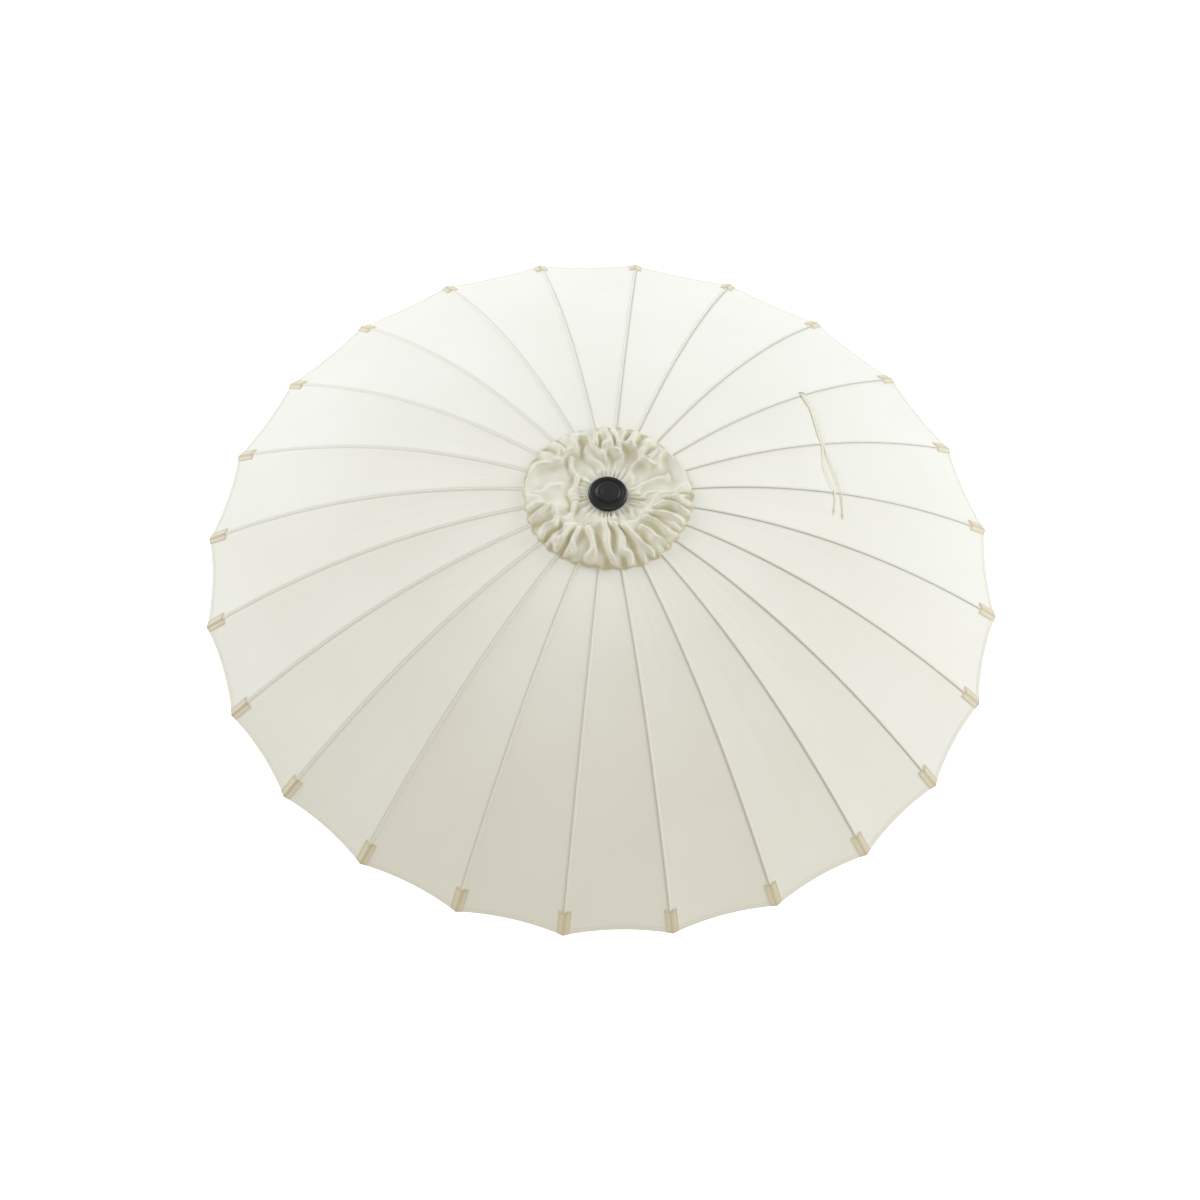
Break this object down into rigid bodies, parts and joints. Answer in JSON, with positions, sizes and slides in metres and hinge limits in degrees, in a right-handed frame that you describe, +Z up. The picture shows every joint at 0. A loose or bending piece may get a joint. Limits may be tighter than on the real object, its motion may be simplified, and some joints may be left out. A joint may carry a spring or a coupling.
{
  "type": "garden parasol",
  "caption": "Round garden parasol with many curved sprung ribs, plain ivory canopy, gathered crown ruffle, dark finial, crank lift and tilt joint.",
  "frame": {"origin": "centre of the flat foot of the pole", "axes": "+Z up the pole, -Y the side with the crank handle, +X across the tilt pivot"},
  "size_m": [2.6, 2.6, 2.4571],
  "materials": {
    "canopy_cloth": "plain woven polyester, ivory, matt",
    "ruffle_cloth": "plain woven polyester, ivory, gathered",
    "tie_cord": "cream braided cotton cord",
    "painted_tube": "anthracite powder coat on aluminium tube",
    "fibreglass": "pultruded fibreglass, satin black",
    "black_plastic": "moulded nylon, fine texture",
    "finial_plastic": "moulded ABS, satin",
    "grey_plastic": "moulded nylon, fine texture"
  },
  "bodies": {
    "root": {"lower_pole": "painted_tube", "crank_housing": "grey_plastic"},
    "head": {"top_pole": "painted_tube", "top_hub": "black_plastic", "canopy": "canopy_cloth", "crown_ruffle": "ruffle_cloth", "tie": "tie_cord"},
    "runner": {"runner": "black_plastic"},
    "finial": {"finial": "finial_plastic"},
    "tilt_button": {"tilt_button": "black_plastic"},
    "crank_handle": {"crank_handle": "grey_plastic"},
    "crank_knob": {"crank_knob": "black_plastic"},
    "rib_01": {"rib_01": "fibreglass"},
    "stretcher_01": {"stretcher_01": "fibreglass"},
    "rib_02": {"rib_02": "fibreglass"},
    "stretcher_02": {"stretcher_02": "fibreglass"},
    "rib_03": {"rib_03": "fibreglass"},
    "stretcher_03": {"stretcher_03": "fibreglass"},
    "rib_04": {"rib_04": "fibreglass"},
    "stretcher_04": {"stretcher_04": "fibreglass"},
    "rib_05": {"rib_05": "fibreglass"},
    "stretcher_05": {"stretcher_05": "fibreglass"},
    "rib_06": {"rib_06": "fibreglass"},
    "stretcher_06": {"stretcher_06": "fibreglass"},
    "rib_07": {"rib_07": "fibreglass"},
    "stretcher_07": {"stretcher_07": "fibreglass"},
    "rib_08": {"rib_08": "fibreglass"},
    "stretcher_08": {"stretcher_08": "fibreglass"},
    "rib_09": {"rib_09": "fibreglass"},
    "stretcher_09": {"stretcher_09": "fibreglass"},
    "rib_10": {"rib_10": "fibreglass"},
    "stretcher_10": {"stretcher_10": "fibreglass"},
    "rib_11": {"rib_11": "fibreglass"},
    "stretcher_11": {"stretcher_11": "fibreglass"},
    "rib_12": {"rib_12": "fibreglass"},
    "stretcher_12": {"stretcher_12": "fibreglass"},
    "rib_13": {"rib_13": "fibreglass"},
    "stretcher_13": {"stretcher_13": "fibreglass"},
    "rib_14": {"rib_14": "fibreglass"},
    "stretcher_14": {"stretcher_14": "fibreglass"},
    "rib_15": {"rib_15": "fibreglass"},
    "stretcher_15": {"stretcher_15": "fibreglass"},
    "rib_16": {"rib_16": "fibreglass"},
    "stretcher_16": {"stretcher_16": "fibreglass"},
    "rib_17": {"rib_17": "fibreglass"},
    "stretcher_17": {"stretcher_17": "fibreglass"},
    "rib_18": {"rib_18": "fibreglass"},
    "stretcher_18": {"stretcher_18": "fibreglass"},
    "rib_19": {"rib_19": "fibreglass"},
    "stretcher_19": {"stretcher_19": "fibreglass"},
    "rib_20": {"rib_20": "fibreglass"},
    "stretcher_20": {"stretcher_20": "fibreglass"},
    "rib_21": {"rib_21": "fibreglass"},
    "stretcher_21": {"stretcher_21": "fibreglass"},
    "rib_22": {"rib_22": "fibreglass"},
    "stretcher_22": {"stretcher_22": "fibreglass"},
    "rib_23": {"rib_23": "fibreglass"},
    "stretcher_23": {"stretcher_23": "fibreglass"},
    "rib_24": {"rib_24": "fibreglass"},
    "stretcher_24": {"stretcher_24": "fibreglass"}
  },
  "joints": [
    {"name": "tilt", "type": "hinge", "parent": "root", "child": "head", "pos_m": [0, 0, 1.94996], "axis": [-1, 0, 0], "range_deg": [-35, 0]},
    {"name": "fold", "type": "slide", "parent": "head", "child": "runner", "axis": [0, 0, -1], "range_m": [0, 0.78787], "deforming": ["canopy"]},
    {"name": "finial_lift", "type": "slide", "parent": "head", "child": "finial", "axis": [0, 0, 1], "range_m": [0, 0.05]},
    {"name": "tilt_release", "type": "slide", "parent": "head", "child": "tilt_button", "axis": [0, 1, 0], "range_m": [0, 0.003], "stiffness_N_per_m": 500},
    {"name": "crank_spin", "type": "hinge", "parent": "root", "child": "crank_handle", "pos_m": [0, -0.058, 0.945], "axis": [0, -1, 0], "range_deg": [0, 3620]},
    {"name": "knob_spin", "type": "hinge", "parent": "crank_handle", "child": "crank_knob", "pos_m": [0, -0.09, 0.87], "axis": [0, -1, 0], "continuous": true},
    {"name": "rib_01_hinge", "type": "hinge", "parent": "head", "child": "rib_01", "pos_m": [0.046, 0, 2.4144], "axis": [0, 1, 0], "range_deg": [0, 66]},
    {"name": "stretcher_01_hinge", "type": "hinge", "parent": "rib_01", "child": "stretcher_01", "pos_m": [0.6, 0, 2.32229], "axis": [0, 1, 0], "range_deg": [-117.65, 0]},
    {"name": "rib_02_hinge", "type": "hinge", "parent": "head", "child": "rib_02", "pos_m": [0.04443, 0.01191, 2.4144], "axis": [-0.2588, 0.9659, 0], "range_deg": [0, 66]},
    {"name": "stretcher_02_hinge", "type": "hinge", "parent": "rib_02", "child": "stretcher_02", "pos_m": [0.57956, 0.15529, 2.32229], "axis": [-0.2588, 0.9659, 0], "range_deg": [-117.65, 0]},
    {"name": "rib_03_hinge", "type": "hinge", "parent": "head", "child": "rib_03", "pos_m": [0.03984, 0.023, 2.4144], "axis": [-0.5, 0.866, 0], "range_deg": [0, 66]},
    {"name": "stretcher_03_hinge", "type": "hinge", "parent": "rib_03", "child": "stretcher_03", "pos_m": [0.51962, 0.3, 2.32229], "axis": [-0.5, 0.866, 0], "range_deg": [-117.65, 0]},
    {"name": "rib_04_hinge", "type": "hinge", "parent": "head", "child": "rib_04", "pos_m": [0.03253, 0.03253, 2.4144], "axis": [-0.7071, 0.7071, 0], "range_deg": [0, 66]},
    {"name": "stretcher_04_hinge", "type": "hinge", "parent": "rib_04", "child": "stretcher_04", "pos_m": [0.42426, 0.42426, 2.32229], "axis": [-0.7071, 0.7071, 0], "range_deg": [-117.65, 0]},
    {"name": "rib_05_hinge", "type": "hinge", "parent": "head", "child": "rib_05", "pos_m": [0.023, 0.03984, 2.4144], "axis": [-0.866, 0.5, 0], "range_deg": [0, 66]},
    {"name": "stretcher_05_hinge", "type": "hinge", "parent": "rib_05", "child": "stretcher_05", "pos_m": [0.3, 0.51962, 2.32229], "axis": [-0.866, 0.5, 0], "range_deg": [-117.65, 0]},
    {"name": "rib_06_hinge", "type": "hinge", "parent": "head", "child": "rib_06", "pos_m": [0.01191, 0.04443, 2.4144], "axis": [-0.9659, 0.2588, 0], "range_deg": [0, 66]},
    {"name": "stretcher_06_hinge", "type": "hinge", "parent": "rib_06", "child": "stretcher_06", "pos_m": [0.15529, 0.57956, 2.32229], "axis": [-0.9659, 0.2588, 0], "range_deg": [-117.65, 0]},
    {"name": "rib_07_hinge", "type": "hinge", "parent": "head", "child": "rib_07", "pos_m": [0, 0.046, 2.4144], "axis": [-1, 0, 0], "range_deg": [0, 66]},
    {"name": "stretcher_07_hinge", "type": "hinge", "parent": "rib_07", "child": "stretcher_07", "pos_m": [0, 0.6, 2.32229], "axis": [-1, 0, 0], "range_deg": [-117.65, 0]},
    {"name": "rib_08_hinge", "type": "hinge", "parent": "head", "child": "rib_08", "pos_m": [-0.01191, 0.04443, 2.4144], "axis": [-0.9659, -0.2588, 0], "range_deg": [0, 66]},
    {"name": "stretcher_08_hinge", "type": "hinge", "parent": "rib_08", "child": "stretcher_08", "pos_m": [-0.15529, 0.57956, 2.32229], "axis": [-0.9659, -0.2588, 0], "range_deg": [-117.65, 0]},
    {"name": "rib_09_hinge", "type": "hinge", "parent": "head", "child": "rib_09", "pos_m": [-0.023, 0.03984, 2.4144], "axis": [-0.866, -0.5, 0], "range_deg": [0, 66]},
    {"name": "stretcher_09_hinge", "type": "hinge", "parent": "rib_09", "child": "stretcher_09", "pos_m": [-0.3, 0.51962, 2.32229], "axis": [-0.866, -0.5, 0], "range_deg": [-117.65, 0]},
    {"name": "rib_10_hinge", "type": "hinge", "parent": "head", "child": "rib_10", "pos_m": [-0.03253, 0.03253, 2.4144], "axis": [-0.7071, -0.7071, 0], "range_deg": [0, 66]},
    {"name": "stretcher_10_hinge", "type": "hinge", "parent": "rib_10", "child": "stretcher_10", "pos_m": [-0.42426, 0.42426, 2.32229], "axis": [-0.7071, -0.7071, 0], "range_deg": [-117.65, 0]},
    {"name": "rib_11_hinge", "type": "hinge", "parent": "head", "child": "rib_11", "pos_m": [-0.03984, 0.023, 2.4144], "axis": [-0.5, -0.866, 0], "range_deg": [0, 66]},
    {"name": "stretcher_11_hinge", "type": "hinge", "parent": "rib_11", "child": "stretcher_11", "pos_m": [-0.51962, 0.3, 2.32229], "axis": [-0.5, -0.866, 0], "range_deg": [-117.65, 0]},
    {"name": "rib_12_hinge", "type": "hinge", "parent": "head", "child": "rib_12", "pos_m": [-0.04443, 0.01191, 2.4144], "axis": [-0.2588, -0.9659, 0], "range_deg": [0, 66]},
    {"name": "stretcher_12_hinge", "type": "hinge", "parent": "rib_12", "child": "stretcher_12", "pos_m": [-0.57956, 0.15529, 2.32229], "axis": [-0.2588, -0.9659, 0], "range_deg": [-117.65, 0]},
    {"name": "rib_13_hinge", "type": "hinge", "parent": "head", "child": "rib_13", "pos_m": [-0.046, 0, 2.4144], "axis": [0, -1, 0], "range_deg": [0, 66]},
    {"name": "stretcher_13_hinge", "type": "hinge", "parent": "rib_13", "child": "stretcher_13", "pos_m": [-0.6, 0, 2.32229], "axis": [0, -1, 0], "range_deg": [-117.65, 0]},
    {"name": "rib_14_hinge", "type": "hinge", "parent": "head", "child": "rib_14", "pos_m": [-0.04443, -0.01191, 2.4144], "axis": [0.2588, -0.9659, 0], "range_deg": [0, 66]},
    {"name": "stretcher_14_hinge", "type": "hinge", "parent": "rib_14", "child": "stretcher_14", "pos_m": [-0.57956, -0.15529, 2.32229], "axis": [0.2588, -0.9659, 0], "range_deg": [-117.65, 0]},
    {"name": "rib_15_hinge", "type": "hinge", "parent": "head", "child": "rib_15", "pos_m": [-0.03984, -0.023, 2.4144], "axis": [0.5, -0.866, 0], "range_deg": [0, 66]},
    {"name": "stretcher_15_hinge", "type": "hinge", "parent": "rib_15", "child": "stretcher_15", "pos_m": [-0.51962, -0.3, 2.32229], "axis": [0.5, -0.866, 0], "range_deg": [-117.65, 0]},
    {"name": "rib_16_hinge", "type": "hinge", "parent": "head", "child": "rib_16", "pos_m": [-0.03253, -0.03253, 2.4144], "axis": [0.7071, -0.7071, 0], "range_deg": [0, 66]},
    {"name": "stretcher_16_hinge", "type": "hinge", "parent": "rib_16", "child": "stretcher_16", "pos_m": [-0.42426, -0.42426, 2.32229], "axis": [0.7071, -0.7071, 0], "range_deg": [-117.65, 0]},
    {"name": "rib_17_hinge", "type": "hinge", "parent": "head", "child": "rib_17", "pos_m": [-0.023, -0.03984, 2.4144], "axis": [0.866, -0.5, 0], "range_deg": [0, 66]},
    {"name": "stretcher_17_hinge", "type": "hinge", "parent": "rib_17", "child": "stretcher_17", "pos_m": [-0.3, -0.51962, 2.32229], "axis": [0.866, -0.5, 0], "range_deg": [-117.65, 0]},
    {"name": "rib_18_hinge", "type": "hinge", "parent": "head", "child": "rib_18", "pos_m": [-0.01191, -0.04443, 2.4144], "axis": [0.9659, -0.2588, 0], "range_deg": [0, 66]},
    {"name": "stretcher_18_hinge", "type": "hinge", "parent": "rib_18", "child": "stretcher_18", "pos_m": [-0.15529, -0.57956, 2.32229], "axis": [0.9659, -0.2588, 0], "range_deg": [-117.65, 0]},
    {"name": "rib_19_hinge", "type": "hinge", "parent": "head", "child": "rib_19", "pos_m": [0, -0.046, 2.4144], "axis": [1, 0, 0], "range_deg": [0, 66]},
    {"name": "stretcher_19_hinge", "type": "hinge", "parent": "rib_19", "child": "stretcher_19", "pos_m": [0, -0.6, 2.32229], "axis": [1, 0, 0], "range_deg": [-117.65, 0]},
    {"name": "rib_20_hinge", "type": "hinge", "parent": "head", "child": "rib_20", "pos_m": [0.01191, -0.04443, 2.4144], "axis": [0.9659, 0.2588, 0], "range_deg": [0, 66]},
    {"name": "stretcher_20_hinge", "type": "hinge", "parent": "rib_20", "child": "stretcher_20", "pos_m": [0.15529, -0.57956, 2.32229], "axis": [0.9659, 0.2588, 0], "range_deg": [-117.65, 0]},
    {"name": "rib_21_hinge", "type": "hinge", "parent": "head", "child": "rib_21", "pos_m": [0.023, -0.03984, 2.4144], "axis": [0.866, 0.5, 0], "range_deg": [0, 66]},
    {"name": "stretcher_21_hinge", "type": "hinge", "parent": "rib_21", "child": "stretcher_21", "pos_m": [0.3, -0.51962, 2.32229], "axis": [0.866, 0.5, 0], "range_deg": [-117.65, 0]},
    {"name": "rib_22_hinge", "type": "hinge", "parent": "head", "child": "rib_22", "pos_m": [0.03253, -0.03253, 2.4144], "axis": [0.7071, 0.7071, 0], "range_deg": [0, 66]},
    {"name": "stretcher_22_hinge", "type": "hinge", "parent": "rib_22", "child": "stretcher_22", "pos_m": [0.42426, -0.42426, 2.32229], "axis": [0.7071, 0.7071, 0], "range_deg": [-117.65, 0]},
    {"name": "rib_23_hinge", "type": "hinge", "parent": "head", "child": "rib_23", "pos_m": [0.03984, -0.023, 2.4144], "axis": [0.5, 0.866, 0], "range_deg": [0, 66]},
    {"name": "stretcher_23_hinge", "type": "hinge", "parent": "rib_23", "child": "stretcher_23", "pos_m": [0.51962, -0.3, 2.32229], "axis": [0.5, 0.866, 0], "range_deg": [-117.65, 0]},
    {"name": "rib_24_hinge", "type": "hinge", "parent": "head", "child": "rib_24", "pos_m": [0.04443, -0.01191, 2.4144], "axis": [0.2588, 0.9659, 0], "range_deg": [0, 66]},
    {"name": "stretcher_24_hinge", "type": "hinge", "parent": "rib_24", "child": "stretcher_24", "pos_m": [0.57956, -0.15529, 2.32229], "axis": [0.2588, 0.9659, 0], "range_deg": [-117.65, 0]}
  ],
  "couplings": [
    {"joint": "crank_spin", "follows": "fold", "rad_per_m": 80},
    {"joint": "rib_01_hinge", "follows": "fold", "rad_per_m": 1.4621},
    {"joint": "stretcher_01_hinge", "follows": "fold", "rad_per_m": -2.6061},
    {"joint": "rib_02_hinge", "follows": "fold", "rad_per_m": 1.4621},
    {"joint": "stretcher_02_hinge", "follows": "fold", "rad_per_m": -2.6061},
    {"joint": "rib_03_hinge", "follows": "fold", "rad_per_m": 1.4621},
    {"joint": "stretcher_03_hinge", "follows": "fold", "rad_per_m": -2.6061},
    {"joint": "rib_04_hinge", "follows": "fold", "rad_per_m": 1.4621},
    {"joint": "stretcher_04_hinge", "follows": "fold", "rad_per_m": -2.6061},
    {"joint": "rib_05_hinge", "follows": "fold", "rad_per_m": 1.4621},
    {"joint": "stretcher_05_hinge", "follows": "fold", "rad_per_m": -2.6061},
    {"joint": "rib_06_hinge", "follows": "fold", "rad_per_m": 1.4621},
    {"joint": "stretcher_06_hinge", "follows": "fold", "rad_per_m": -2.6061},
    {"joint": "rib_07_hinge", "follows": "fold", "rad_per_m": 1.4621},
    {"joint": "stretcher_07_hinge", "follows": "fold", "rad_per_m": -2.6061},
    {"joint": "rib_08_hinge", "follows": "fold", "rad_per_m": 1.4621},
    {"joint": "stretcher_08_hinge", "follows": "fold", "rad_per_m": -2.6061},
    {"joint": "rib_09_hinge", "follows": "fold", "rad_per_m": 1.4621},
    {"joint": "stretcher_09_hinge", "follows": "fold", "rad_per_m": -2.6061},
    {"joint": "rib_10_hinge", "follows": "fold", "rad_per_m": 1.4621},
    {"joint": "stretcher_10_hinge", "follows": "fold", "rad_per_m": -2.6061},
    {"joint": "rib_11_hinge", "follows": "fold", "rad_per_m": 1.4621},
    {"joint": "stretcher_11_hinge", "follows": "fold", "rad_per_m": -2.6061},
    {"joint": "rib_12_hinge", "follows": "fold", "rad_per_m": 1.4621},
    {"joint": "stretcher_12_hinge", "follows": "fold", "rad_per_m": -2.6061},
    {"joint": "rib_13_hinge", "follows": "fold", "rad_per_m": 1.4621},
    {"joint": "stretcher_13_hinge", "follows": "fold", "rad_per_m": -2.6061},
    {"joint": "rib_14_hinge", "follows": "fold", "rad_per_m": 1.4621},
    {"joint": "stretcher_14_hinge", "follows": "fold", "rad_per_m": -2.6061},
    {"joint": "rib_15_hinge", "follows": "fold", "rad_per_m": 1.4621},
    {"joint": "stretcher_15_hinge", "follows": "fold", "rad_per_m": -2.6061},
    {"joint": "rib_16_hinge", "follows": "fold", "rad_per_m": 1.4621},
    {"joint": "stretcher_16_hinge", "follows": "fold", "rad_per_m": -2.6061},
    {"joint": "rib_17_hinge", "follows": "fold", "rad_per_m": 1.4621},
    {"joint": "stretcher_17_hinge", "follows": "fold", "rad_per_m": -2.6061},
    {"joint": "rib_18_hinge", "follows": "fold", "rad_per_m": 1.4621},
    {"joint": "stretcher_18_hinge", "follows": "fold", "rad_per_m": -2.6061},
    {"joint": "rib_19_hinge", "follows": "fold", "rad_per_m": 1.4621},
    {"joint": "stretcher_19_hinge", "follows": "fold", "rad_per_m": -2.6061},
    {"joint": "rib_20_hinge", "follows": "fold", "rad_per_m": 1.4621},
    {"joint": "stretcher_20_hinge", "follows": "fold", "rad_per_m": -2.6061},
    {"joint": "rib_21_hinge", "follows": "fold", "rad_per_m": 1.4621},
    {"joint": "stretcher_21_hinge", "follows": "fold", "rad_per_m": -2.6061},
    {"joint": "rib_22_hinge", "follows": "fold", "rad_per_m": 1.4621},
    {"joint": "stretcher_22_hinge", "follows": "fold", "rad_per_m": -2.6061},
    {"joint": "rib_23_hinge", "follows": "fold", "rad_per_m": 1.4621},
    {"joint": "stretcher_23_hinge", "follows": "fold", "rad_per_m": -2.6061},
    {"joint": "rib_24_hinge", "follows": "fold", "rad_per_m": 1.4621},
    {"joint": "stretcher_24_hinge", "follows": "fold", "rad_per_m": -2.6061}
  ]
}
